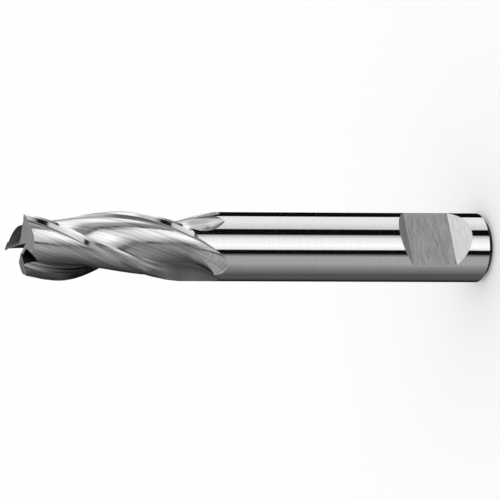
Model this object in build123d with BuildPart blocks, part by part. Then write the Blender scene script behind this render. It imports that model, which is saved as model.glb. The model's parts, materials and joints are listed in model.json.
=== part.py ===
from build123d import *
from math import cos, radians, sin, tan
import os

os.makedirs("parts", exist_ok=True)

# Three flute centre cutting end mill, right hand helix, with a side lock flat on its shank.
# The tool stands on its shank end: that end is on Z = 0, the axis is Z, the teeth are on top,
# and the drive flat faces -Y.

# Blank
overall_length = 73.0
tool_radius = 5.0
shank_chamfer = 0.8

# Flutes
teeth = 3
tooth_pitch = 360 / teeth
lead = 58.1
first_tooth_angle = -47.6
flute_length = 25.0
core_radius = 2.85
root_radius = 1.1
rake = 10.0

# Relief behind a cutting edge, and the back of the tooth behind it, as radius and angle
land_end = (4.92, -4.95)
heel_end = (4.66, -12.84)
wall_foot_end = (4.27, -14.0)
back_middle_end = (4.12, -30.0)
back_edge_end = (3.87, -43.5)
back_low_end = (3.66, -52.2)
back_foot_end = (3.45, -60.2)

# Run-out, where the grinding wheels leave the flute
runout_stations = 6
back_runout_length = 8.0
back_lift = 1.6
back_lift_angle = -45.0
back_side_length = 0.5
back_side_turn = 50.0
root_runout_length = 6.1
root_exit = (5.25, -68.0)
relief_runout_length = 1.4
relief_lift = 0.5

# End teeth
end_dish = 1.5
end_relief = 8.0
end_relief_width = 0.55
end_clearance = 17.0
gash_slope = 30.0
gash_opening = 54.0
gash_offset = -0.1
gash_starts = [0.6, -1.7, 0.9]
gash_depths = [1.0, 0.45, 1.25]

# Drive flat
flat_height = 2.75
flat_length = 7.0
flat_centre = 9.18
flat_wall_slope = 45.0


def polar(radius, angle):
    """Point of a flute section, with angles counted from the tip of the tooth in front."""
    return Vector(radius * cos(radians(angle)), radius * sin(radians(angle)))


def turn_at(height):
    """Angle of the first tooth tip at a height above the shank end."""
    return first_tooth_angle - 360 * (overall_length - height) / lead


def station(travel, lift, lift_angle):
    """Section plane in the run-out, turned along the helix and lifted off the core."""
    height = overall_length - flute_length - travel
    turn = turn_at(height)
    shift = polar(lift, turn + lift_angle)
    return Plane(
        origin=(shift.X, shift.Y, height),
        x_dir=(cos(radians(turn)), sin(radians(turn)), 0),
        z_dir=(0, 0, 1),
    )


heel = polar(*heel_end)
wall_foot = polar(*wall_foot_end)
wall_top = heel + (heel - wall_foot).normalized() * 1.5
back_middle = polar(*back_middle_end)
back_edge = polar(*back_edge_end)
back_low = polar(*back_low_end)
back_foot = polar(*back_foot_end)

# The rake face starts at the next tip and leans in by the rake angle. A round root follows it
# and touches the core circle.
next_tip = polar(tool_radius, -tooth_pitch)
rake_out = polar(1, rake - tooth_pitch)
rake_side = polar(1, rake - tooth_pitch + 90)
root_reach = core_radius + root_radius
root_off = root_radius - tool_radius * sin(radians(rake))
root_centre = rake_out * (root_reach**2 - root_off**2) ** 0.5 + rake_side * root_off
rake_foot = root_centre - rake_side * root_radius
root_foot = root_centre * (core_radius / root_reach)
root_middle = root_centre - (rake_side + root_centre.normalized()).normalized() * root_radius
rake_top = next_tip + rake_out * 1.6

# Back of the tooth, with a steep wall at the heel. Its far side rises over the root.
back_run = (back_edge - back_middle).normalized()
back_corner = back_edge + back_run * back_side_length
back_top = back_corner + back_run.rotate(Axis.Z, back_side_turn) * 4.5
with BuildSketch(Plane.XY) as back_section:
    with BuildLine():
        Line(wall_top, wall_foot)
        ThreePointArc(wall_foot, back_middle, back_edge)
        Polyline(back_edge, back_corner, back_top, polar(7.8, -50), polar(7.4, -30), wall_top)
    make_face()

# Root and rake face of the next tooth. In the run-out this section shrinks towards its exit.
with BuildSketch(Plane.XY) as root_section:
    with BuildLine():
        ThreePointArc(back_edge, back_low, back_foot)
        TangentArc(root_foot, back_foot, tangent=Vector(-root_foot.Y, root_foot.X))
        ThreePointArc(root_foot, root_middle, rake_foot)
        Polyline(rake_foot, rake_top, polar(7.4, -90), polar(7.4, -60), back_edge)
    make_face()

# Two narrow reliefs between the cutting edge and the heel
with BuildSketch(Plane.XY) as relief_section:
    with BuildLine():
        Polyline(
            polar(tool_radius, 0),
            polar(*land_end),
            heel,
            polar(heel_end[0], heel_end[1] - 1),
            polar(6.4, heel_end[1] + 1),
            polar(6.4, 0.5),
            close=True,
        )
    make_face()

with BuildPart() as back_runout:
    for step in range(runout_stations + 1):
        share = step / runout_stations
        lift = back_lift * share**2
        with BuildSketch(station(share * back_runout_length, lift, back_lift_angle)):
            add(back_section.sketch)
    loft()

with BuildPart() as root_runout:
    for step in range(runout_stations + 1):
        share = 0.98 * step / runout_stations
        lift = root_exit[0] * share**2
        with BuildSketch(station(share * root_runout_length, lift, root_exit[1])):
            add(root_section.sketch)
            scale(by=1 - share**2)
    loft()

with BuildPart() as relief_runout:
    for step in range(3):
        share = step / 2
        lift = relief_lift * share**2
        with BuildSketch(station(share * relief_runout_length, lift, heel_end[1])):
            add(relief_section.sketch)
    loft()

# End relief in two steps, behind an end cutting edge that lies along X
edge_drop = tool_radius * tan(radians(end_dish))
first_step = Plane(
    origin=(0, 0, overall_length - edge_drop),
    x_dir=(cos(radians(end_dish)), 0, sin(radians(end_dish))),
    z_dir=(-sin(radians(end_dish)), -sin(radians(end_relief)), cos(radians(end_relief))),
)
second_drop = edge_drop + end_relief_width * tan(radians(end_relief))
second_step = Plane(
    origin=(0, -end_relief_width, overall_length - second_drop),
    x_dir=(cos(radians(end_dish)), 0, sin(radians(end_dish))),
    z_dir=(-sin(radians(end_dish)), -sin(radians(end_clearance)), cos(radians(end_clearance))),
)
with BuildPart() as end_relief_cut:
    with BuildSketch(first_step):
        Polygon((0, 0), (8, 0), (8, -7), (-4.04, -7), align=None)
    extrude(amount=3, dir=(0, 0, 1))
    with BuildSketch(second_step):
        Polygon((-0.32, 0), (8, 0), (8, -6.5), (-4.07, -6.5), align=None)
    extrude(amount=4, dir=(0, 0, 1))

with BuildPart() as endmill:
    with BuildSketch(Plane.XY):
        Circle(tool_radius)
    extrude(amount=overall_length)
    chamfer(endmill.faces().sort_by(Axis.Z)[0].edges(), length=shank_chamfer)

    # Helical flutes and reliefs, cut from the run-out up past the end of the tool
    cut_height = flute_length + 1
    cut_twist = 360 * cut_height / lead
    flute_floor = overall_length - flute_length
    with Locations(Location((0, 0, flute_floor), (0, 0, turn_at(flute_floor)))):
        with PolarLocations(0, teeth):
            for section in [back_section, root_section, relief_section]:
                cutter = Solid.extrude_linear_with_rotation(
                    section.sketch.face(), (0, 0, 0), (0, 0, cut_height), cut_twist
                )
                add(cutter, mode=Mode.SUBTRACT)
    with PolarLocations(0, teeth):
        add(back_runout.part, mode=Mode.SUBTRACT)
        add(root_runout.part, mode=Mode.SUBTRACT)
        add(relief_runout.part, mode=Mode.SUBTRACT)

    # Reliefs and gashes of the end teeth. The second tooth cuts across the centre.
    for number in range(teeth):
        turned = Rotation(0, 0, first_tooth_angle + number * tooth_pitch)
        add(turned * end_relief_cut.part, mode=Mode.SUBTRACT)
        gash_plane = Plane(
            origin=(gash_starts[number], gash_offset, overall_length - gash_depths[number]),
            x_dir=(0, 1, 0),
            z_dir=(cos(radians(gash_slope)), 0, -sin(radians(gash_slope))),
        )
        with BuildSketch(Plane(turned * gash_plane.location)):
            Polygon((0, 0), (7 * tan(radians(gash_opening)), 7), (0, 7), align=None)
        extrude(amount=9, mode=Mode.SUBTRACT)

    # Drive flat with sloping ends
    depth = tool_radius - flat_height + 1
    spread = flat_length / 2 + depth / tan(radians(flat_wall_slope))
    with BuildSketch(Plane.YZ):
        Polygon(
            (-flat_height, flat_centre - flat_length / 2),
            (-flat_height, flat_centre + flat_length / 2),
            (-flat_height - depth, flat_centre + spread),
            (-flat_height - depth, flat_centre - spread),
            align=None,
        )
    extrude(amount=tool_radius + 1, both=True, mode=Mode.SUBTRACT)

endmill.part.label = "endmill"
export_step(endmill.part, "parts/endmill.step")
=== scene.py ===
"""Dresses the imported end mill: its ground surfaces, the studio round it and the camera.

The tool stands on its shank end on Z = 0 with its teeth on top, as the CAD model does. Its visible
mesh is made as the real tool is: a round blank comes first, and grinding passes then cut it.
"""

from __future__ import annotations

import json
import logging
import math
from dataclasses import dataclass, field
from enum import Enum
from typing import Any

import bmesh
import bpy
from mathutils import Matrix, Vector

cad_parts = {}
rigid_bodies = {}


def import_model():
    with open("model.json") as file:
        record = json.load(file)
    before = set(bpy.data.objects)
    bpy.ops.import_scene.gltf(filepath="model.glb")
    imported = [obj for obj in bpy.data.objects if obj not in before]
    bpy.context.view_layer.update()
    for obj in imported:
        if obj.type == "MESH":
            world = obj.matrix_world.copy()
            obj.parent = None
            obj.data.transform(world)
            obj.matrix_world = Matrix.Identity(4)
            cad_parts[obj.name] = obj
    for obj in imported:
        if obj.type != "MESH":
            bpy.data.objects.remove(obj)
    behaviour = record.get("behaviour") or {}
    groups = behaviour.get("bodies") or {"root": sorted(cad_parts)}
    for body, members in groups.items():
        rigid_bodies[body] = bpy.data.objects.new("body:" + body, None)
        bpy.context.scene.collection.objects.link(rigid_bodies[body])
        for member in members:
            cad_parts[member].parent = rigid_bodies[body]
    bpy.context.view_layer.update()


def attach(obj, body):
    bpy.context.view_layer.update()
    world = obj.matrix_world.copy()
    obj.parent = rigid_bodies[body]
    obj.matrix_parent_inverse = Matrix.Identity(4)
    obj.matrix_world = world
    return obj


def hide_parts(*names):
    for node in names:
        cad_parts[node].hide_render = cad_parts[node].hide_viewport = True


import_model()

LOG = logging.getLogger("end_mill")
MM = 0.001
# What the tool's mesh remembers: a point's place in its section, the same with its height, its
# place on the first tooth, and the number of a face's finish
PLAN = "plan"
LAY = "lay"
TOOTH = "tooth"
NUMBER = "finish_number"
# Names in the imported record
BODY = "root"
NODE = "endmill"
# Side of the tool that faces the camera, in degrees round its axis
FACING = -116.27
# How far a cutting solid reaches past the blank, in millimetres
OVERCUT = 1.0
WHITE = "#FFFFFF"
# Where a point of a card lies round the tool, from zero to one
AROUND = "around"
# Kinds of node that come more than once
MATH = "ShaderNodeMath"
VECTOR_MATH = "ShaderNodeVectorMath"
RANGE = "ShaderNodeMapRange"
MIX = "ShaderNodeMix"
NOISE = "ShaderNodeTexNoise"
ATTRIBUTE = "ShaderNodeAttribute"
COMBINE = "ShaderNodeCombineXYZ"
SEPARATE = "ShaderNodeSeparateXYZ"
STORE = "GeometryNodeStoreNamedAttribute"
NAMED = "GeometryNodeInputNamedAttribute"
POSITION = "GeometryNodeInputPosition"
REALIZE = "GeometryNodeRealizeInstances"
SET_MATERIAL = "GeometryNodeSetMaterial"
COMPARE = "FunctionNodeCompare"

Socket = bpy.types.NodeSocket
Tree = bpy.types.NodeTree
Mesh = bpy.types.Mesh
Object = bpy.types.Object
Place = tuple[float, float]
Cards = tuple[tuple[str | float, ...], ...]


def linear(code: str) -> tuple[float, float, float, float]:
    """Turn an sRGB hex colour into the linear colour that a shader takes.

    Args:
        code: Six hex digits after a hash sign.

    Returns:
        Linear red, green and blue, and an alpha of one.
    """
    parts = [int(code[i : i + 2], 16) / 255 for i in (1, 3, 5)]
    red, green, blue = (p / 12.92 if p <= 0.04045 else ((p + 0.055) / 1.055) ** 2.4 for p in parts)
    return red, green, blue, 1.0


def add(
    tree: Tree,
    kind: str,
    sockets: dict[int | str, Any] | None = None,
    **settings: Any,
) -> bpy.types.Node:
    """Add one node to a tree, with its settings and what goes into it.

    Args:
        tree: The node tree.
        kind: The node's type.
        sockets: A value, or another node's output, for each input by name or number.
        settings: The node's own properties.

    Returns:
        The new node.
    """
    node = tree.nodes.new(kind)
    for name, value in settings.items():
        setattr(node, name, value)
    for name, value in (sockets or {}).items():
        if isinstance(value, Socket):
            tree.links.new(value, node.inputs[name])
        else:
            node.inputs[name].default_value = value
    return node


def cleared(holder: bpy.types.Material | bpy.types.World) -> Tree:
    """Turn on the nodes of a material or a world.

    Args:
        holder: The material or the world.

    Returns:
        Its tree, without the nodes that it starts with.
    """
    holder.use_nodes = True
    holder.node_tree.nodes.clear()
    return holder.node_tree


def polar(radius: float, angle: float) -> Vector:
    """Point in millimetres at a radius and an angle in degrees."""
    turn = math.radians(angle)
    return Vector((radius * math.cos(turn), radius * math.sin(turn)))


def arc(start: Vector, middle: Vector, end: Vector, spacing: float) -> list[Vector]:
    """Divide the arc through three points.

    Args:
        start: Its first point.
        middle: A point on it.
        end: Its last point.
        spacing: The most that two neighbouring points may be apart.

    Returns:
        The points from the first up to, and without, the last.
    """
    a, b = middle - start, end - start
    cross = 2 * (a.x * b.y - a.y * b.x)
    centre = start + Vector(
        (
            (b.y * a.length_squared - a.y * b.length_squared) / cross,
            (a.x * b.length_squared - b.x * a.length_squared) / cross,
        )
    )
    radius = (start - centre).length
    first = math.atan2(*(start - centre).yx)
    sweep = math.atan2(*(end - centre).yx) - first
    way = 1 if cross > 0 else -1
    sweep = way * ((way * sweep) % (2 * math.pi))
    count = max(2, math.ceil(abs(sweep) * radius / spacing))
    steps = (first + sweep * i / count for i in range(count))
    return [centre + radius * Vector((math.cos(s), math.sin(s))) for s in steps]


def straight(start: Vector, way: Vector, length: float, parts: int) -> list[Vector]:
    """Divide a straight line, from its start up to, and without, its end."""
    return [start + way * (length * i / parts) for i in range(parts)]


def in_scene(name: str, data: bpy.types.ID) -> Object:
    """Put a mesh or a camera into the scene.

    Args:
        name: The object's name.
        data: The mesh or the camera.

    Returns:
        The object.
    """
    made = bpy.data.objects.new(name, data)
    bpy.context.scene.collection.objects.link(made)
    return made


def new_mesh(name: str, points: list[Vector], faces: list[list[int]]) -> Mesh:
    """Make a mesh from points in millimetres.

    Args:
        name: The mesh's name.
        points: Its points.
        faces: The point numbers of each face, or of an edge where there are only two.

    Returns:
        The mesh, in metres.
    """
    mesh = bpy.data.meshes.new(name)
    edges = [f for f in faces if len(f) == 2]
    mesh.from_pydata([p * MM for p in points], edges, [f for f in faces if len(f) > 2])
    mesh.validate()
    return mesh


def prism(name: str, base: list[Vector], top: list[Vector]) -> Mesh:
    """Close two matching outlines into a solid, with its faces outwards.

    Args:
        name: The mesh's name.
        base: The lower outline, counterclockwise as seen from the upper one.
        top: The upper outline.

    Returns:
        The mesh.
    """
    n = len(base)
    sides = [[i, (i + 1) % n, n + (i + 1) % n, n + i] for i in range(n)]
    return new_mesh(name, base + top, [list(range(n))[::-1], list(range(n, 2 * n)), *sides])


class Marks(Enum):
    """The way that the grinding marks of a surface run."""

    ROUND = "round the axis"
    HELIX = "along the flute"
    ACROSS = "across the flat"
    FACED = "over an end face"


@dataclass(frozen=True)
class GroundFinish:
    """A ground and partly polished metal surface, with the marks of its wheel in millimetres."""

    name: str
    colour: str
    dull_colour: str
    roughness: float
    rough_spread: float
    mark_length: float
    mark_depth: float
    mark_width: float = 0.15
    marks: Marks = Marks.FACED
    tilt: float = 0.0

    def place(self, tree: Tree) -> Socket:
        """Coordinates in which one unit is a mark's width across it, and its length along it.

        Args:
            tree: The material's tree.

        Returns:
            The output that gives them.
        """
        wide, long = self.mark_width * MM, self.mark_length * MM
        turned, size = (0.0, 0.0, 0.0), (wide, wide, long)
        if self.marks is Marks.HELIX:
            spot = add(tree, ATTRIBUTE, attribute_name=LAY).outputs["Vector"]
        else:
            spot = add(tree, "ShaderNodeTexCoord").outputs["Object"]
            if self.marks is Marks.ROUND:
                size = (long, long, wide)
            elif self.marks is Marks.ACROSS:
                turned = (0.0, math.radians(90 + self.tilt), 0.0)
            else:
                turned = (math.radians(90), 0.0, math.radians(self.tilt))
        way = {"Vector": spot, "Rotation": turned, "Scale": size}
        return add(tree, "ShaderNodeMapping", way, vector_type="TEXTURE").outputs[0]

    def pattern(self, tree: Tree) -> Socket:
        """Height of the marks.

        Args:
            tree: The material's tree.

        Returns:
            The output that gives it, from zero to one.
        """
        place = self.place(tree)
        grain = {"Vector": place, "Scale": 1.0, "Detail": 3.0, "Roughness": 0.6}
        return add(tree, NOISE, grain).outputs[0]

    def with_painted_shade(self, tree: Tree, tint: Socket, rough: Socket) -> tuple[Socket, Socket]:
        """Colour and roughness with any area of painted shade worked in.

        Args:
            tree: The material's tree.
            tint: The colour.
            rough: The roughness.

        Returns:
            Both outputs, as they came where the finish has no such area.
        """
        return tint, rough

    def material(self) -> bpy.types.Material:
        """Build the material.

        Returns:
            The material, made anew or found by its name.
        """
        found = bpy.data.materials.get(self.name)
        if found:
            return found
        made = bpy.data.materials.new(self.name)
        tree = cleared(made)
        marks = self.pattern(tree)
        # Most of the noise lies between 0.3 and 0.7, so that range is spread over the whole finish.
        low, high = self.roughness - self.rough_spread, self.roughness + self.rough_spread
        span = {"Value": marks, "From Min": 0.3, "From Max": 0.7, "To Min": low, "To Max": high}
        rough = add(tree, RANGE, span).outputs[0]
        share = add(tree, RANGE, {"Value": marks, "From Min": 0.35, "From Max": 0.65}).outputs[0]
        dull, bright = linear(self.dull_colour), linear(self.colour)
        tint = add(tree, MIX, {0: share, 6: dull, 7: bright}, data_type="RGBA").outputs[2]
        tint, rough = self.with_painted_shade(tree, tint, rough)
        depth = self.mark_depth * MM
        bump = add(tree, "ShaderNodeBump", {"Height": marks, "Distance": depth}).outputs[0]
        metal = {"Base Color": tint, "Metallic": 1.0, "Roughness": rough, "Normal": bump}
        shader = add(tree, "ShaderNodeBsdfPrincipled", metal).outputs[0]
        add(tree, "ShaderNodeOutputMaterial", {"Surface": shader})
        return made


@dataclass(frozen=True)
class StreakFinish(GroundFinish):
    """Satin metal with streaks along a flute, in a fine and a broad width."""

    colour: str = "#F6F6F6"
    dull_colour: str = "#B8B8B8"
    roughness: float = 0.16
    rough_spread: float = 0.06
    marks: Marks = Marks.HELIX
    mark_width: float = 0.14
    mark_length: float = 9.0
    mark_depth: float = 0.013
    broad_width: float = 0.5
    broad_share: float = 0.4

    def pattern(self, tree: Tree) -> Socket:
        """Height of the streaks.

        Args:
            tree: The material's tree.

        Returns:
            The output that gives it, from zero to one.
        """
        fine = super().pattern(tree)
        scale = self.mark_width / self.broad_width
        broad = add(tree, NOISE, {"Vector": self.place(tree), "Scale": scale, "Detail": 1.0}).outputs[0]
        return add(tree, MIX, {0: self.broad_share, 2: fine, 3: broad}, data_type="FLOAT").outputs[0]

    def fade(self, tree: Tree, value: Socket, start: float, end: float) -> Socket:
        """Rise smoothly from zero to one between two values.

        Args:
            tree: The material's tree.
            value: What the rise depends on.
            start: Its value where the rise starts.
            end: Its value where the rise ends.

        Returns:
            The output that gives the share.
        """
        span = {"Value": value, "From Min": start, "From Max": end}
        return add(tree, RANGE, span, interpolation_type="SMOOTHSTEP").outputs[0]

    def section(self, tree: Tree) -> bpy.types.NodeOutputs:
        """Place in the flute's section (X and Y) and the height (Z), in metres."""
        lay = add(tree, ATTRIBUTE, attribute_name=LAY).outputs["Vector"]
        return add(tree, SEPARATE, {0: lay}).outputs


@dataclass(frozen=True)
class BackFinish(StreakFinish):
    """Streaks along the back of a tooth, and round marks where the wheel came out of it.

    Heights, the pitch of the round marks and their centre are in millimetres.
    """

    fade_top: float = 46.0
    fade_bottom: float = 44.0
    round_pitch: float = 0.33
    round_depth: float = 0.4
    round_centre: tuple[float, float, float] = (-1.31, 4.36, 46.2)

    def pattern(self, tree: Tree) -> Socket:
        """Height of the streaks and of the round marks.

        Args:
            tree: The material's tree.

        Returns:
            The output that gives it, from zero to one.
        """
        streaks = super().pattern(tree)
        spot = add(tree, ATTRIBUTE, attribute_name=TOOTH).outputs["Vector"]
        centre = tuple(c * MM for c in self.round_centre)
        away = add(tree, VECTOR_MATH, {0: spot, 1: centre}, operation="DISTANCE").outputs["Value"]
        grain = {"W": away, "Scale": 1 / (self.round_pitch * MM), "Detail": 1.0}
        rings = add(tree, NOISE, grain, noise_dimensions="1D").outputs[0]
        lowest, highest = 0.5 - self.round_depth / 2, 0.5 + self.round_depth / 2
        shallow = add(tree, RANGE, {"Value": rings, "To Min": lowest, "To Max": highest}).outputs[0]
        height = self.section(tree)["Z"]
        share = self.fade(tree, height, self.fade_top * MM, self.fade_bottom * MM)
        return add(tree, MIX, {0: share, 2: streaks, 3: shallow}, data_type="FLOAT").outputs[0]


@dataclass(frozen=True)
class RootFinish(StreakFinish):
    """Streaks along a root, with a rougher area near the run-out whose darker colour is painted shade.

    The area fades in between two heights in millimetres and two angles round the section.
    """

    # Painted shade: the root's colour darkens towards the run-out and across its far side
    shade_colour: str = "#A2A2A2"
    shade_area_roughness: float = 0.72
    shade_top: float = 54.0
    shade_bottom: float = 48.0
    shade_start: float = -98.0
    shade_end: float = -110.0

    def with_painted_shade(self, tree: Tree, tint: Socket, rough: Socket) -> tuple[Socket, Socket]:
        """Colour and roughness with the painted shade and the rougher area worked in.

        Args:
            tree: The material's tree.
            tint: The colour.
            rough: The roughness.

        Returns:
            Both outputs.
        """
        place = self.section(tree)
        angle = add(tree, MATH, {0: place["Y"], 1: place["X"]}, operation="ARCTAN2").outputs[0]
        start, end = math.radians(self.shade_start), math.radians(self.shade_end)
        across = self.fade(tree, angle, start, end)
        low = self.fade(tree, place["Z"], self.shade_top * MM, self.shade_bottom * MM)
        share = add(tree, MATH, {0: across, 1: low}, operation="MULTIPLY").outputs[0]
        # The painted shade takes over the colour, and the roughness rises with it
        colours = {0: share, 6: tint, 7: linear(self.shade_colour)}
        shaded_tint = add(tree, MIX, colours, data_type="RGBA").outputs[2]
        values = {0: share, 2: rough, 3: self.shade_area_roughness}
        rougher = add(tree, MIX, values, data_type="FLOAT").outputs[0]
        return shaded_tint, rougher


# Real grinding marks are 0.01 to 0.05 mm apart. That is too fine for a picture of the whole tool,
# so every finish below draws them coarser, 0.14 to 0.2 mm wide, and keeps their direction.

# Centreless ground shank: bright, with very fine rings that only soften its reflections
SHANK = GroundFinish(
    name="centreless_ground_shank",
    colour="#E6E6E6",
    dull_colour="#E0E0E0",
    roughness=0.06,
    rough_spread=0.01,
    marks=Marks.ROUND,
    mark_length=6.0,
    mark_depth=0.0001,
)
# Faced end and chamfer: ground last and coarser than the shank, so a little darker
FACED_END = GroundFinish(
    name="faced_shank_end",
    colour="#D4D4D4",
    dull_colour="#B8B8B8",
    roughness=0.24,
    rough_spread=0.05,
    mark_length=8.0,
    mark_depth=0.002,
)
# Back of a tooth, ground by the rim of a wheel that follows the helix: satin, with long streaks
BACK = BackFinish(name="ground_tooth_back")
# Root and rake face, ground by the corner of the next wheel: the same streaks, rougher and darkened by
# painted shade at the run-out
ROOT = RootFinish(name="ground_flute_root")
# Relief behind the cutting edge: the finest wheel, nearly a mirror
RELIEF = GroundFinish(
    name="fine_ground_relief",
    colour="#E6E6E6",
    dull_colour="#D8D8D8",
    roughness=0.1,
    rough_spread=0.03,
    marks=Marks.HELIX,
    mark_width=0.2,
    mark_length=5.0,
    mark_depth=0.001,
)
# End teeth and gashes: small facets with straight marks of a cup wheel
END_FACET = GroundFinish(
    name="ground_end_facet",
    colour="#D8D8D8",
    dull_colour="#BCBCBC",
    roughness=0.22,
    rough_spread=0.06,
    mark_length=3.0,
    mark_depth=0.002,
    tilt=20.0,
)
# Gash: a short plunge of a coarse wheel into the centre, rough, and dark in colour as painted shade for
# its depth
SHADED_GASH = GroundFinish(
    name="plunge_ground_gash",
    # Both colours are painted shade, dark for the gash's depth; the roughness is the wheel's
    colour="#565656",
    dull_colour="#3C3C3C",
    roughness=0.42,
    rough_spread=0.08,
    mark_length=2.0,
    mark_depth=0.003,
)
# Drive flat: ground across with a coarser wheel, so it is dull beside the shank
DRIVE_FLAT = GroundFinish(
    name="cross_ground_flat",
    colour="#F2F2F2",
    dull_colour="#D4D4D4",
    roughness=0.34,
    rough_spread=0.05,
    marks=Marks.ACROSS,
    mark_width=0.14,
    mark_length=1.6,
    mark_depth=0.002,
)

FINISHES = (SHANK, BACK, ROOT, RELIEF, END_FACET, SHADED_GASH, DRIVE_FLAT, FACED_END)


@dataclass
class FlutePass:
    """A wheel's pass along the helix, as the solid that it takes out of the blank.

    Attributes:
        name: The pass's name.
        outline: Its section.
        finish: The finish that it leaves.
        runout: Height over which the section leaves the blank.
        exit: How far the section has moved out at the end of that height.
        shrink: Share of its size that the section loses on the way.
        share: Share of the run-out that is made. A section that shrinks to nothing stops before.
        far_way: Direction to the side of the section that leaves faster.
        far_range: Places along that direction where this starts and where it is full.
        far_gain: How much faster that side leaves, as a share.
        step: Height between two sections.
    """

    name: str
    outline: list[Vector]
    finish: GroundFinish
    runout: float
    exit: Vector
    shrink: float = 0.0
    share: float = 1.0
    far_way: Vector = field(default_factory=lambda: Vector((1.0, 0.0)))
    far_range: Place = (0.0, 1.0)
    far_gain: float = 0.0
    step: float = 0.4


@dataclass
class Recipe:
    """A Geometry Nodes tree, with the identifier of each of its named inputs."""

    name: str
    tree: Tree | None = None
    inputs: dict[str, str] = field(default_factory=dict)

    def begin(self, sockets: dict[str, str]) -> bpy.types.NodeOutputs:
        """Make the tree and its inputs.

        Args:
            sockets: The kind of each input, by its name.

        Returns:
            The inputs, as the outputs of the tree's first node.
        """
        self.tree = bpy.data.node_groups.new(self.name, "GeometryNodeTree")
        face = self.tree.interface
        face.new_socket("Geometry", in_out="INPUT", socket_type="NodeSocketGeometry")
        for label, kind in sockets.items():
            socket = face.new_socket(label, in_out="INPUT", socket_type=f"NodeSocket{kind}")
            self.inputs[label] = socket.identifier
        face.new_socket("Geometry", in_out="OUTPUT", socket_type="NodeSocketGeometry")
        return add(self.tree, "NodeGroupInput").outputs

    def follow(self, holder: Object, values: dict[str, Any]) -> Mesh:
        """Run the tree on an object, which is used up.

        Args:
            holder: The object that the tree starts from.
            values: The value of each named input.

        Returns:
            The mesh that the tree makes.
        """
        run = holder.modifiers.new(self.name, "NODES")
        run.node_group = self.tree
        for label, value in values.items():
            run[self.inputs[label]] = value
        bpy.context.view_layer.update()
        evaluated = holder.evaluated_get(bpy.context.evaluated_depsgraph_get())
        mesh = bpy.data.meshes.new_from_object(evaluated)
        bpy.data.objects.remove(holder)
        return mesh


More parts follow.
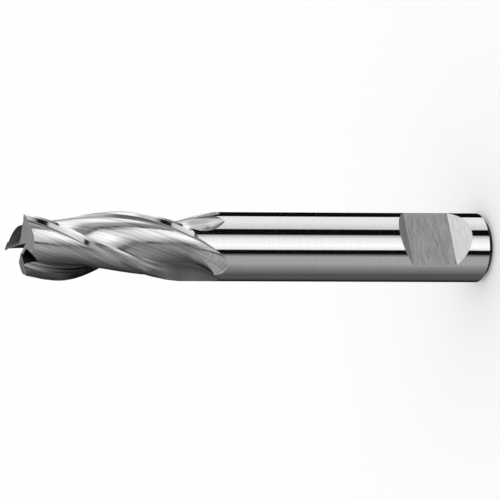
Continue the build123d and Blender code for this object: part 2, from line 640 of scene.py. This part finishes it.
class PassTree(Recipe):
    """Turns a section outline into the passes of all teeth."""

    LENGTHS = ("Bottom", "Top", "Flute Floor", "Run-out Length", "Far Start", "Far End")
    FACTORS = ("Shrink", "Turn per Height", "Turn at Zero", "Far Gain")

    def build(self) -> None:
        """Build the tree."""
        given = self.begin(
            {
                **dict.fromkeys((*self.LENGTHS, *self.FACTORS), "Float"),
                **dict.fromkeys(("Exit", "Far Way"), "Vector"),
                **dict.fromkeys(("Rings", "Teeth", "Finish Number"), "Int"),
                "Finish": "Material",
            }
        )
        tree = self.tree

        # The section is swept straight up first, and each point keeps its place in the section.
        spot = add(tree, POSITION).outputs[0]
        curve = add(tree, "GeometryNodeMeshToCurve", {0: given["Geometry"]}).outputs[0]
        named = {"Geometry": curve, "Name": PLAN, "Value": spot}
        plan = add(tree, STORE, named, data_type="FLOAT_VECTOR", domain="POINT").outputs[0]
        low = add(tree, COMBINE, {"Z": given["Bottom"]}).outputs[0]
        high = add(tree, COMBINE, {"Z": given["Top"]}).outputs[0]
        rail = add(tree, "GeometryNodeCurvePrimitiveLine", {"Start": low, "End": high}).outputs[0]
        rings = {"Curve": rail, "Count": given["Rings"]}
        rail = add(tree, "GeometryNodeResampleCurve", rings).outputs[0]
        curves = {"Curve": rail, "Profile Curve": plan, "Fill Caps": True}
        swept = add(tree, "GeometryNodeCurveToMesh", curves).outputs[0]

        # In the run-out the section leaves along Exit, by the square of the way travelled.
        height = add(tree, SEPARATE, {0: spot}).outputs["Z"]
        floor, runout = given["Flute Floor"], given["Run-out Length"]
        end = add(tree, MATH, {0: floor, 1: runout}, operation="SUBTRACT").outputs[0]
        travel = add(tree, RANGE, {"Value": height, "From Min": floor, "From Max": end}).outputs[0]
        square = add(tree, MATH, {0: travel, 1: travel}, operation="MULTIPLY").outputs[0]
        less = add(tree, MATH, {0: square, 1: given["Shrink"]}, operation="MULTIPLY").outputs[0]
        size = add(tree, MATH, {0: 1.0, 1: less}, operation="SUBTRACT").outputs[0]
        kept = add(tree, NAMED, {"Name": PLAN}, data_type="FLOAT_VECTOR").outputs[0]
        scaled = add(tree, VECTOR_MATH, {0: kept, "Scale": size}, operation="SCALE").outputs[0]
        # The far side of the section may leave faster than the near one, by the 1.5th power.
        sides = {0: kept, 1: given["Far Way"]}
        reach = add(tree, VECTOR_MATH, sides, operation="DOT_PRODUCT").outputs["Value"]
        start, end = given["Far Start"], given["Far End"]
        far = add(tree, RANGE, {"Value": reach, "From Min": start, "From Max": end}).outputs[0]
        bent = add(tree, MATH, {0: far, 1: 1.5}, operation="POWER").outputs[0]
        gains = {0: bent, 1: given["Far Gain"], 2: 1.0}
        faster = add(tree, MATH, gains, operation="MULTIPLY_ADD").outputs[0]
        pace = add(tree, MATH, {0: square, 1: faster}, operation="MULTIPLY").outputs[0]
        shift = add(tree, VECTOR_MATH, {0: given["Exit"], "Scale": pace}, operation="SCALE").outputs[0]
        moved = add(tree, VECTOR_MATH, {0: scaled, 1: shift}, operation="ADD").outputs[0]
        turns = {0: height, 1: given["Turn per Height"], 2: given["Turn at Zero"]}
        turn = add(tree, MATH, turns, operation="MULTIPLY_ADD").outputs[0]
        helix = {"Vector": moved, "Angle": turn}
        turned = add(tree, "ShaderNodeVectorRotate", helix, rotation_type="Z_AXIS").outputs[0]
        lift = add(tree, COMBINE, {"Z": height}).outputs[0]
        final = add(tree, VECTOR_MATH, {0: turned, 1: lift}, operation="ADD").outputs[0]
        along = add(tree, VECTOR_MATH, {0: kept, 1: lift}, operation="ADD").outputs[0]
        for label, value in ((TOOTH, final), (LAY, along)):
            named = {"Geometry": swept, "Name": label, "Value": value}
            swept = add(tree, STORE, named, data_type="FLOAT_VECTOR", domain="CORNER").outputs[0]
        cut = add(tree, "GeometryNodeSetPosition", {"Geometry": swept, "Position": final}).outputs[0]

        # One pass for each tooth
        points = add(tree, "GeometryNodePoints", {"Count": given["Teeth"]}).outputs[0]
        pitch = add(tree, MATH, {0: 2 * math.pi, 1: given["Teeth"]}, operation="DIVIDE").outputs[0]
        tooth = add(tree, "GeometryNodeInputIndex").outputs[0]
        angle = add(tree, MATH, {0: tooth, 1: pitch}, operation="MULTIPLY").outputs[0]
        way = add(tree, COMBINE, {"Z": angle}).outputs[0]
        copies = {"Points": points, "Instance": cut, "Rotation": way}
        teeth = add(tree, "GeometryNodeInstanceOnPoints", copies).outputs[0]
        solid = add(tree, REALIZE, {0: teeth}).outputs[0]
        named = {"Geometry": solid, "Name": NUMBER, "Value": given["Finish Number"]}
        numbered = add(tree, STORE, named, data_type="INT", domain="FACE").outputs[0]
        finish = {"Geometry": numbered, "Material": given["Finish"]}
        dressed = add(tree, SET_MATERIAL, finish).outputs[0]
        add(tree, "NodeGroupOutput", {0: dressed})


class GrindTree(Recipe):
    """Takes all passes off the blank and gives each face the finish of its wheel."""

    def build(self) -> None:
        """Build the tree."""
        finishes = dict.fromkeys((finish.name for finish in FINISHES), "Material")
        given = self.begin({"Passes": "Collection", "End Height": "Float", **finishes})
        tree = self.tree
        group = {"Collection": given["Passes"], "Separate Children": True}
        passes = add(tree, "GeometryNodeCollectionInfo", group).outputs[0]
        ground = add(
            tree,
            "GeometryNodeMeshBoolean",
            {"Mesh 1": given["Geometry"], "Mesh 2": passes},
            operation="DIFFERENCE",
            solver="MANIFOLD",
        ).outputs[0]
        solid = add(tree, REALIZE, {0: ground}).outputs[0]
        spot = add(tree, POSITION).outputs[0]
        height = add(tree, SEPARATE, {0: spot}).outputs["Z"]
        ends = {0: height, 1: given["End Height"]}
        low = add(tree, COMPARE, ends, data_type="FLOAT", operation="LESS_THAN").outputs[0]
        number = add(tree, NAMED, {"Name": NUMBER}, data_type="INT").outputs[0]
        for index, finish in enumerate(FINISHES):
            chosen = low
            if finish is not FACED_END:
                pair = {2: number, 3: index}
                chosen = add(tree, COMPARE, pair, data_type="INT", operation="EQUAL").outputs[0]
            dress = {"Geometry": solid, "Selection": chosen, "Material": given[finish.name]}
            solid = add(tree, SET_MATERIAL, dress).outputs[0]
        add(tree, "NodeGroupOutput", {0: solid})


@dataclass(frozen=True)
class EndStep:
    """A step of an end tooth's relief.

    Attributes:
        slope: Its fall behind the tooth's edge, in degrees.
        behind: How far behind the edge it starts.
        area: Outline that the wheel covers, out from the axis and ahead of the step's start.
        tall: Height of what it takes off.
    """

    slope: float
    behind: float
    area: tuple[Place, ...]
    tall: float


@dataclass
class EndMill:
    """The whole tool, which is one piece of ground metal.

    Its sizes are those of the CAD source, with three exceptions. The blank is half a micrometre
    smaller, to stay inside the CAD model, and back_side and back_bend shape the run-out's far side.
    Lengths are in millimetres and angles in degrees. A place in the section is a radius and an
    angle from the tip of a tooth.
    """

    length: float = 73.0
    radius: float = 4.9995
    chamfer: float = 0.8
    faced_height: float = 0.75
    teeth: int = 3
    lead: float = 58.1
    first_tooth: float = -47.6
    flute_length: float = 25.0
    core: float = 2.85
    root: float = 1.1
    rake: float = 10.0
    rake_reach: float = 1.6
    tip: float = 5.0
    land_end: Place = (4.92, -4.95)
    heel_end: Place = (4.66, -12.84)
    relief_outside: float = 6.4
    relief_lap: float = 1.0
    relief_lead: float = 0.5
    wall_foot_end: Place = (4.27, -14.0)
    wall_reach: float = 1.5
    back_middle_end: Place = (4.12, -30.0)
    back_edge_end: Place = (3.87, -43.5)
    back_low_end: Place = (3.66, -52.2)
    back_foot_end: Place = (3.45, -60.2)
    back_side: float = 1.3
    back_side_parts: int = 8
    back_turn: float = 50.0
    back_rise: float = 4.5
    back_rise_parts: int = 12
    back_bend: float = 1.0
    back_outside: tuple[Place, ...] = ((7.8, -50.0), (7.4, -30.0))
    root_outside: tuple[Place, ...] = ((7.4, -90.0), (7.4, -60.0))
    end_dish: float = 1.5
    end_steps: tuple[EndStep, ...] = (
        EndStep(8.0, 0.0, ((0.0, 0.0), (8.0, 0.0), (8.0, -7.0), (-4.04, -7.0)), 3.0),
        EndStep(17.0, 0.55, ((-0.32, 0.0), (8.0, 0.0), (8.0, -6.5), (-4.07, -6.5)), 4.0),
    )
    gash_slope: float = 30.0
    gash_opening: float = 54.0
    gash_offset: float = -0.1
    gash_starts: tuple[float, ...] = (0.6, -1.7, 0.9)
    gash_depths: tuple[float, ...] = (1.0, 0.45, 1.25)
    gash_height: float = 7.0
    gash_length: float = 9.0
    flat_height: float = 2.75
    flat_length: float = 7.0
    flat_centre: float = 9.18
    segments: int = 512
    spacing: float = 0.12
    crease: float = 12.0
    weld: float = 0.0001

    @property
    def pitch(self) -> float:
        """Angle from one tooth to the next."""
        return 360 / self.teeth

    def blank(self) -> Mesh:
        """Round blank with its chamfered end.

        Returns:
            The mesh, with the shank's finish.
        """
        rings = (
            (self.radius - self.chamfer, 0.0),
            (self.radius, self.chamfer),
            (self.radius, self.length),
        )
        n = self.segments
        points = [
            Vector((*polar(radius, 360 * i / n), height)) for radius, height in rings for i in range(n)
        ]
        faces = [list(range(n))[::-1], list(range(2 * n, 3 * n))]
        for ring in range(len(rings) - 1):
            for i in range(n):
                a, b = ring * n + i, ring * n + (i + 1) % n
                faces.append([a, b, b + n, a + n])
        mesh = new_mesh("blank", points, faces)
        number_faces(mesh, SHANK)
        return mesh

    def back_outline(self) -> list[Vector]:
        """Outline of what is ground off behind the heel.

        Returns:
            Its points. The straight far side is divided, because the run-out bends it.
        """
        heel, foot = polar(*self.heel_end), polar(*self.wall_foot_end)
        wall_top = heel + (heel - foot).normalized() * self.wall_reach
        middle, edge = polar(*self.back_middle_end), polar(*self.back_edge_end)
        run = (edge - middle).normalized()
        corner = edge + run * self.back_side
        rise = run.copy()
        rise.rotate(Matrix.Rotation(math.radians(self.back_turn), 2))
        return [
            wall_top,
            *arc(foot, middle, edge, self.spacing),
            *straight(edge, run, self.back_side, self.back_side_parts),
            *straight(corner, rise, self.back_rise, self.back_rise_parts),
            corner + rise * self.back_rise,
            *(polar(*place) for place in self.back_outside),
        ]

    def root_outline(self) -> list[Vector]:
        """Outline of the round root and the rake face of the next tooth.

        Returns:
            Its points.
        """
        edge, low = polar(*self.back_edge_end), polar(*self.back_low_end)
        foot = polar(*self.back_foot_end)
        next_tip = polar(self.tip, -self.pitch)
        rake_out = polar(1, self.rake - self.pitch)
        rake_side = polar(1, self.rake - self.pitch + 90)
        reach = self.core + self.root
        off = self.root - self.tip * math.sin(math.radians(self.rake))
        centre = rake_out * math.sqrt(reach**2 - off**2) + rake_side * off
        rake_foot = centre - rake_side * self.root
        root_foot = centre * (self.core / reach)
        between = (rake_side + centre.normalized()).normalized()
        root_middle = centre - between * self.root
        # This arc leaves the core circle along its tangent, so its centre is on the same radius.
        out = root_foot.normalized()
        chord = foot - root_foot
        bend = chord.length_squared / (2 * chord.dot(out))
        hub = root_foot + out * bend
        aside = ((root_foot - hub).normalized() + (foot - hub).normalized()).normalized()
        return [
            *arc(edge, low, foot, self.spacing),
            *arc(foot, hub + aside * abs(bend), root_foot, self.spacing),
            *arc(root_foot, root_middle, rake_foot, self.spacing),
            rake_foot,
            next_tip,
            next_tip + rake_out * self.rake_reach,
            *(polar(*place) for place in self.root_outside),
        ]

    def relief_outline(self) -> list[Vector]:
        """Outline of the two narrow reliefs behind the cutting edge.

        Returns:
            Its points. It laps over the wall at the heel.
        """
        radius, angle = self.heel_end
        return [
            polar(self.tip, 0),
            polar(*self.land_end),
            polar(radius, angle),
            polar(radius, angle - self.relief_lap),
            polar(self.relief_outside, angle + self.relief_lap),
            polar(self.relief_outside, self.relief_lead),
        ]

    def flute_passes(self) -> list[FlutePass]:
        """The passes that follow the helix, and the way that each leaves the blank.

        Returns:
            The passes, in the order in which they are ground.
        """
        middle, edge = polar(*self.back_middle_end), polar(*self.back_edge_end)
        run = (edge - middle).normalized()
        return [
            FlutePass(
                name="back_pass",
                outline=self.back_outline(),
                finish=BACK,
                runout=8.0,
                exit=polar(1.6, -45),
                far_way=run,
                far_range=(middle.dot(run), edge.dot(run) + self.back_side),
                far_gain=self.back_bend,
            ),
            FlutePass(
                name="root_pass",
                outline=self.root_outline(),
                finish=ROOT,
                runout=6.1,
                exit=polar(5.25, -68),
                shrink=1.0,
                share=0.98,
            ),
            FlutePass(
                name="relief_pass",
                outline=self.relief_outline(),
                finish=RELIEF,
                runout=1.4,
                exit=polar(0.5, self.heel_end[1]),
            ),
        ]

    def end_reliefs(self, turned: Matrix) -> list[Mesh]:
        """Solids that the two steps of end relief take off one tooth.

        Args:
            turned: Turn round the axis to the tooth.

        Returns:
            The solids.
        """
        made = []
        dish = math.radians(self.end_dish)
        drop, fall = self.tip * math.tan(dish), 0.0
        for step in self.end_steps:
            drop += step.behind * fall
            slope = math.radians(step.slope)
            fall = math.tan(slope)
            normal = Vector((-math.sin(dish), -math.sin(slope), math.cos(slope))).normalized()
            along = Vector((math.cos(dish), 0, math.sin(dish)))
            along = (along - normal * along.dot(normal)).normalized()
            aside = normal.cross(along)
            start = Vector((0, -step.behind, self.length - drop))
            base = [start + along * x + aside * y for x, y in reversed(step.area)]
            top = [p + Vector((0, 0, step.tall)) for p in base]
            made.append(prism("end_relief", [turned @ p for p in base], [turned @ p for p in top]))
        return made

    def gash(self, number: int, turned: Matrix) -> Mesh:
        """Solid that the gash of one tooth takes off.

        Args:
            number: The tooth's number.
            turned: Turn round the axis to the tooth.

        Returns:
            The solid.
        """
        slope = math.radians(self.gash_slope)
        tall = self.gash_height
        wide = tall * math.tan(math.radians(self.gash_opening))
        height = self.length - self.gash_depths[number]
        start = Vector((self.gash_starts[number], self.gash_offset, height))
        ahead = Vector((math.cos(slope), 0, -math.sin(slope)))
        up = Vector((math.sin(slope), 0, math.cos(slope)))
        base = [start + Vector((0, x, 0)) + up * y for x, y in ((0, 0), (wide, tall), (0, tall))]
        top = [p + ahead * self.gash_length for p in base]
        return prism("gash", [turned @ p for p in base], [turned @ p for p in top])

    def drive_flat(self) -> Mesh:
        """Solid that the drive flat takes off, with ends that slope at 45 degrees.

        Returns:
            The solid.
        """
        deep = self.tip - self.flat_height + OVERCUT
        half = self.flat_length / 2
        outline = (
            (-self.flat_height, self.flat_centre - half),
            (-self.flat_height, self.flat_centre + half),
            (-self.flat_height - deep, self.flat_centre + half + deep),
            (-self.flat_height - deep, self.flat_centre - half - deep),
        )
        base = [Vector((-self.tip - OVERCUT, y, z)) for y, z in outline]
        top = [Vector((self.tip + OVERCUT, y, z)) for y, z in outline]
        return prism("drive_flat", base, top)

    def end_cutters(self) -> list[tuple[Mesh, GroundFinish]]:
        """Solids that the end reliefs, the gashes and the drive flat take off.

        Returns:
            Each solid and its finish.
        """
        made = []
        for number in range(self.teeth):
            turned = Matrix.Rotation(math.radians(self.first_tooth + number * self.pitch), 3, "Z")
            made += [(mesh, END_FACET) for mesh in self.end_reliefs(turned)]
            made.append((self.gash(number, turned), SHADED_GASH))
        made.append((self.drive_flat(), DRIVE_FLAT))
        return made

    def sweep(self, shape: FlutePass, recipe: PassTree) -> Mesh:
        """Sweep one pass along the helix.

        Args:
            shape: The pass.
            recipe: The tree that sweeps it.

        Returns:
            The solid of the pass, for all teeth.
        """
        outline = [Vector((p.x, p.y, 0)) for p in shape.outline]
        loop = [[i, (i + 1) % len(outline)] for i in range(len(outline))]
        holder = in_scene(shape.name, new_mesh(shape.name, outline, loop))
        floor, top = self.length - self.flute_length, self.length + OVERCUT
        bottom = floor - shape.runout * shape.share
        turn = 360 / self.lead
        values = {
            "Bottom": bottom * MM,
            "Top": top * MM,
            "Flute Floor": floor * MM,
            "Run-out Length": shape.runout * MM,
            "Shrink": shape.shrink,
            "Turn per Height": math.radians(turn) / MM,
            "Turn at Zero": math.radians(self.first_tooth - turn * self.length),
            "Exit": (shape.exit.x * MM, shape.exit.y * MM, 0.0),
            "Far Way": (shape.far_way.x, shape.far_way.y, 0.0),
            "Far Start": shape.far_range[0] * MM,
            "Far End": shape.far_range[1] * MM,
            "Far Gain": shape.far_gain,
            "Rings": math.ceil((top - bottom) / shape.step) + 1,
            "Teeth": self.teeth,
            "Finish Number": FINISHES.index(shape.finish),
            "Finish": shape.finish.material(),
        }
        return recipe.follow(holder, values)

    def cutters(self) -> bpy.types.Collection:
        """Solids of all passes.

        Returns:
            A collection that holds them.
        """
        passes = bpy.data.collections.new("passes")
        bpy.context.scene.collection.children.link(passes)
        recipe = PassTree("flute pass")
        recipe.build()
        for shape in self.flute_passes():
            mesh = self.sweep(shape, recipe)
            passes.objects.link(bpy.data.objects.new(shape.name, mesh))
        for mesh, finish in self.end_cutters():
            number_faces(mesh, finish)
            passes.objects.link(bpy.data.objects.new(mesh.name, mesh))
        return passes

    def ground(self) -> Mesh:
        """Take all passes off the blank.

        Returns:
            The mesh of the ground tool, joined at its cuts and smooth between its edges.
        """
        passes = self.cutters()
        recipe = GrindTree("grind blank")
        recipe.build()
        values = {"Passes": passes, "End Height": self.faced_height * MM}
        values.update((finish.name, finish.material()) for finish in FINISHES)
        mesh = recipe.follow(in_scene("ground_tool", self.blank()), values)
        for holder in list(passes.objects):
            bpy.data.objects.remove(holder)
        bpy.data.collections.remove(passes)
        work = bmesh.new()
        work.from_mesh(mesh)
        bmesh.ops.remove_doubles(work, verts=work.verts, dist=self.weld * MM)
        for face in work.faces:
            face.smooth = True
        work.to_mesh(mesh)
        work.free()
        mesh.set_sharp_from_angle(angle=math.radians(self.crease))
        mesh.name = "ground_tool"
        return mesh

    def build(self) -> Object:
        """Grind the tool.

        Returns:
            The finished piece, riding on the tool's body.
        """
        tool = in_scene("ground_tool", self.ground())
        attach(tool, BODY)
        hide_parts(NODE)
        return tool


def number_faces(mesh: Mesh, finish: GroundFinish) -> None:
    """Give a mesh a finish, and its faces the finish's number.

    Args:
        mesh: The mesh.
        finish: The finish.
    """
    mesh.materials.append(finish.material())
    numbers = mesh.attributes.new(NUMBER, "INT", "FACE")
    numbers.data.foreach_set("value", [FINISHES.index(finish)] * len(mesh.polygons))


@dataclass(frozen=True)
class CardRing:
    """One ring of cards round the tool.

    Attributes:
        name: The ring's name.
        low: Height of its lower edge, in millimetres.
        high: Height of its upper edge.
        cards: Each card's tone on polished metal, and the angle of its middle or of its two edges,
            from the side that faces the camera. The tones blend from one card to the next.
    """

    name: str
    low: float
    high: float
    cards: Cards


# Tones of the studio's cards, from a black flag up to the white of a lit box
BLACK = "#0A0A0A"
DARK = "#1C1C1C"
DUSK = "#343434"
SHADE = "#505050"
DIM = "#646464"
GREY = "#828282"
MIDDLE = "#A0A0A0"
PALE = "#C8C8C8"
LIT = "#E6E6E6"

# Far below, which only the undersides of the teeth and a view from above meet
LOWEST_RING = CardRing("lowest_ring", low=-1500, high=-560, cards=(
    (BLACK, -155),
    (MIDDLE, -150, -125),
    (BLACK, -120, -40),
    (DUSK, 20),
    (DIM, 35),
    (GREY, 50),
    (BLACK, 64, 97),
    (MIDDLE, 104, 142),
    (BLACK, 150),
))
# Above it, and dark on the side that the near wall of the drive flat looks to
LOW_RING = CardRing("low_ring", low=-560, high=-325, cards=(
    (BLACK, -155),
    (MIDDLE, -150, -126),
    (BLACK, -120, -80),
    (SHADE, -50),
    (DIM, -25),
    (GREY, -5),
    (MIDDLE, 15, 48),
    (BLACK, 62, 97),
    (MIDDLE, 104, 142),
    (BLACK, 150),
))
# Below the shank, where the run-outs and the undersides of the teeth look
UNDER_RING = CardRing("under_ring", low=-325, high=-190, cards=(
    (BLACK, -180, -85),
    (SHADE, -50),
    (DIM, -25),
    (MIDDLE, 20, 55),
    (DIM, 75),
    (SHADE, 110),
    (DARK, 142),
    (BLACK, 180),
))
# What the shank mirrors: two white boxes with a black flag on each side of them
SHANK_RING = CardRing("shank_ring", low=-190, high=-70, cards=(
    (BLACK, -180),
    (DARK, -150),
    (SHADE, -128, -105),
    (GREY, -73),
    (MIDDLE, -57, -33),
    (SHADE, -24.5),
    (BLACK, -22, -8.9),
    (LIT, -8.4),
    (WHITE, 5),
    (LIT, 28),
    (MIDDLE, 40.2),
    (BLACK, 40.7, 60.5),
    (PALE, 61),
    (LIT, 90, 121.8),
    (BLACK, 122.3, 180),
))
# What most of a flute mirrors: softer steps, so that the satin metal keeps its streaks
FLUTE_RING = CardRing("flute_ring", low=-70, high=12, cards=(
    (SHADE, -180),
    (DARK, -155),
    (SHADE, -105),
    (GREY, -55, -27),
    (DIM, -22, -12),
    (MIDDLE, -8),
    (PALE, 4),
    (WHITE, 15, 51),
    (DARK, 52, 57),
    (GREY, 59, 78),
    (WHITE, 94, 118),
    (MIDDLE, 146),
    (SHADE, 180),
))
# What the hollow parts of a flute mirror
MIDDLE_RING = CardRing("middle_ring", low=12, high=160, cards=(
    (GREY, -180),
    (DARK, -168, -128),
    (SHADE, -115),
    (MIDDLE, -60, -35),
    (BLACK, -31, -25),
    (PALE, -23),
    (LIT, 0),
    (PALE, 36),
    (BLACK, 38, 54),
    (GREY, 57),
    (PALE, 66, 125),
    (DIM, 142),
    (DARK, 156, 167),
    (GREY, 175),
))
# What the end teeth and the slopes of the run-outs mirror
UPPER_RING = CardRing("upper_ring", low=160, high=600, cards=(
    (GREY, -180),
    (MIDDLE, -165),
    (DIM, -150),
    (SHADE, -97),
    (DIM, -60, 6),
    (PALE, 36),
    (LIT, 71),
    (PALE, 120),
    (DIM, 140),
    (DARK, 152, 168),
    (GREY, 175),
))
RINGS = (LOWEST_RING, LOW_RING, UNDER_RING, SHANK_RING, FLUTE_RING, MIDDLE_RING, UPPER_RING)


@dataclass
class Studio:
    """White floor, even light, and the cards whose reflections shape the metal.

    The cards stand in rings round the tool, at a distance in millimetres. They don't change with the
    view, and only reflections see them.
    """

    distance: float = 300.0
    glow: float = 1.3
    sides: int = 180
    low_tone: str = "#0C0C0C"
    top_tone: str = "#A8A8A8"
    floor_half: float = 2000.0

    def painted(self, mesh: Mesh, cards: str | Cards) -> Object:
        """Give a ring or a disc its tones and hide it from all but reflections.

        Args:
            mesh: The ring or the disc.
            cards: One colour, or the ring's cards.

        Returns:
            The object.
        """
        paint = bpy.data.materials.new(mesh.name)
        tree = cleared(paint)
        if isinstance(cards, str):
            colour: Any = linear(cards)
        else:
            where = add(tree, ATTRIBUTE, attribute_name=AROUND).outputs["Fac"]
            ramp = add(tree, "ShaderNodeValToRGB", {"Fac": where})
            stops = ramp.color_ramp.elements
            edges = [(angle, tone) for tone, *angles in cards for angle in angles]
            while len(stops) < len(edges):
                stops.new(1.0)
            for stop, (angle, tone) in zip(stops, edges):
                stop.position = (angle + 180) / 360
                stop.color = linear(tone)
            colour = ramp.outputs[0]
        light = add(tree, "ShaderNodeEmission", {"Color": colour, "Strength": self.glow})
        add(tree, "ShaderNodeOutputMaterial", {"Surface": light.outputs[0]})
        paint.cycles.emission_sampling = "NONE"
        mesh.materials.append(paint)
        made = in_scene(mesh.name, mesh)
        for ray in ("camera", "diffuse", "shadow", "transmission", "volume_scatter"):
            setattr(made, f"visible_{ray}", False)
        return made

    def circle(self, height: float) -> list[Vector]:
        """Points of a ring, from behind the tool round to behind it again.

        Args:
            height: The ring's height.

        Returns:
            The points. The last is where the first is.
        """
        n = self.sides
        turns = (FACING - 180 + 360 * i / n for i in range(n + 1))
        return [Vector((*polar(self.distance, turn), height)) for turn in turns]

    def cards(self) -> list[Object]:
        """Build the rings of cards, and the disc below and the one above them.

        Returns:
            The rings and the discs.
        """
        n = self.sides
        made = []
        for ring in RINGS:
            faces = [[i, i + 1, n + i + 2, n + i + 1] for i in range(n)]
            mesh = new_mesh(ring.name, self.circle(ring.low) + self.circle(ring.high), faces)
            around = mesh.attributes.new(AROUND, "FLOAT", "POINT")
            around.data.foreach_set("value", [i / n for i in range(n + 1)] * 2)
            made.append(self.painted(mesh, ring.cards))
        for name, height, tone in (
            ("low_card", RINGS[0].low, self.low_tone),
            ("top_card", RINGS[-1].high, self.top_tone),
        ):
            disc = new_mesh(name, self.circle(height)[:n], [list(range(n))])
            made.append(self.painted(disc, tone))
        return made

    def floor(self) -> Object:
        """White floor that keeps the tool's soft shadow.

        Returns:
            The floor as an object.
        """
        corners = ((-1, -1), (1, -1), (1, 1), (-1, 1))
        points = [Vector((x * self.floor_half, y * self.floor_half, 0)) for x, y in corners]
        mesh = new_mesh("floor", points, [[0, 1, 2, 3]])
        made = bpy.data.materials.new("white_floor")
        tree = cleared(made)
        paper = add(tree, "ShaderNodeBsdfDiffuse", {"Color": linear(WHITE)}).outputs[0]
        add(tree, "ShaderNodeOutputMaterial", {"Surface": paper})
        mesh.materials.append(made)
        floor = in_scene("floor", mesh)
        floor.visible_glossy = False
        return floor

    def world(self) -> None:
        """Even white light from all sides."""
        made = bpy.data.worlds.new("white_room")
        tree = cleared(made)
        light = add(tree, "ShaderNodeBackground", {"Color": linear(WHITE), "Strength": 1.0})
        add(tree, "ShaderNodeOutputWorld", {"Surface": light.outputs[0]})
        bpy.context.scene.world = made

    def build(self) -> list[Object]:
        """Set up the studio.

        Returns:
            The floor, the rings and the discs.
        """
        self.world()
        made = [self.floor(), *self.cards()]
        return made


@dataclass
class Viewpoint:
    """Camera at the photograph's viewing angle. It looks down the tool's length from the teeth.

    Lengths are in millimetres and angles in degrees. It aims at a height on the tool's axis.
    """

    elevation: float = 24.03
    roll: float = 0.2567
    distance: float = 2500.0
    target: float = 37.0
    aside: float = 0.349
    down: float = 0.463
    lens: float = 1247.9
    sensor: float = 36.0
    nearest: float = 100.0
    farthest: float = 20000.0

    def build(self) -> Object:
        """Make the camera and set the view transform.

        Returns:
            The camera.
        """
        azimuth, rise = math.radians(FACING), math.radians(self.elevation)
        flat = math.cos(rise)
        back = Vector((math.cos(azimuth) * flat, math.sin(azimuth) * flat, math.sin(rise)))
        up = Vector((-math.sin(azimuth), math.cos(azimuth), 0))
        right = up.cross(back)
        place = Vector((0, 0, self.target)) + back * self.distance
        place += right * self.aside - up * self.down
        tilt = math.radians(self.roll)
        across = right * math.cos(tilt) + up * math.sin(tilt)
        above = up * math.cos(tilt) - right * math.sin(tilt)
        data = bpy.data.cameras.new("camera")
        data.lens, data.sensor_width = self.lens, self.sensor
        data.clip_start, data.clip_end = self.nearest * MM, self.farthest * MM
        camera = in_scene("camera", data)
        turn = Matrix((across, above, back)).transposed()
        camera.matrix_world = Matrix.Translation(place * MM) @ turn.to_4x4()
        bpy.context.scene.camera = camera
        bpy.context.scene.view_settings.view_transform = "Standard"
        return camera


def main() -> None:
    """Build the tool, the studio and the camera."""
    logging.basicConfig(level=logging.INFO, format="%(name)s: %(message)s")
    tool = EndMill().build()
    counts = len(tool.data.polygons), len(tool.data.materials)
    LOG.info("%s: %d faces, %d materials", tool.name, *counts)
    for piece in Studio().build():
        LOG.info("%s: part of the studio", piece.name)
    LOG.info("%s: in place", Viewpoint().build().name)


if __name__ == "__main__":
    main()
